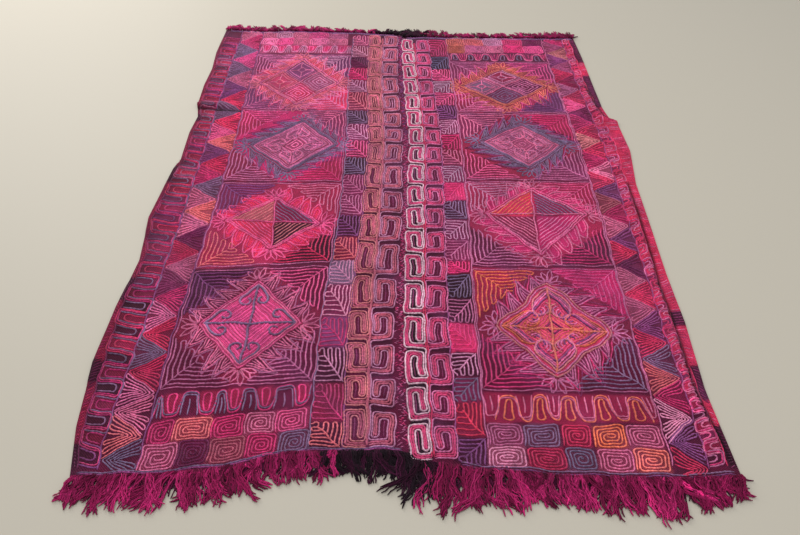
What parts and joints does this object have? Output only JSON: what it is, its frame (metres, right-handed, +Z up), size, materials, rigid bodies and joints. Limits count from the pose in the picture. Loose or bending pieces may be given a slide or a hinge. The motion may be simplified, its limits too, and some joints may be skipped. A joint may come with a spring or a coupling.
{
  "type": "two-panel embroidered wool rug with fringe",
  "caption": "Flat-lying Turkish wool rug sewn from two long panels, embroidered all over with spiral, hook, leaf and diamond motifs, with a warp fringe at both ends.",
  "frame": {"origin": "on the floor, under the middle of the rug's overall outline, fringe included", "axes": "+X to the right across the rug's width as it lies before the viewer, +Y along its length to the far end, +Z up out of the face"},
  "size_m": [1.7136, 2.4685, 0.0175],
  "materials": {
    "embroidered_wool": "matt wool weave covered with chain-stitch embroidery",
    "fringe_wool": "matt twisted wool warp ends"
  },
  "bodies": {
    "root": {"panel_left": "embroidered_wool", "panel_right": "embroidered_wool", "fringe_near_left": "fringe_wool", "fringe_near_right": "fringe_wool", "fringe_far_left": "fringe_wool", "fringe_far_right": "fringe_wool"}
  },
  "joints": []
}
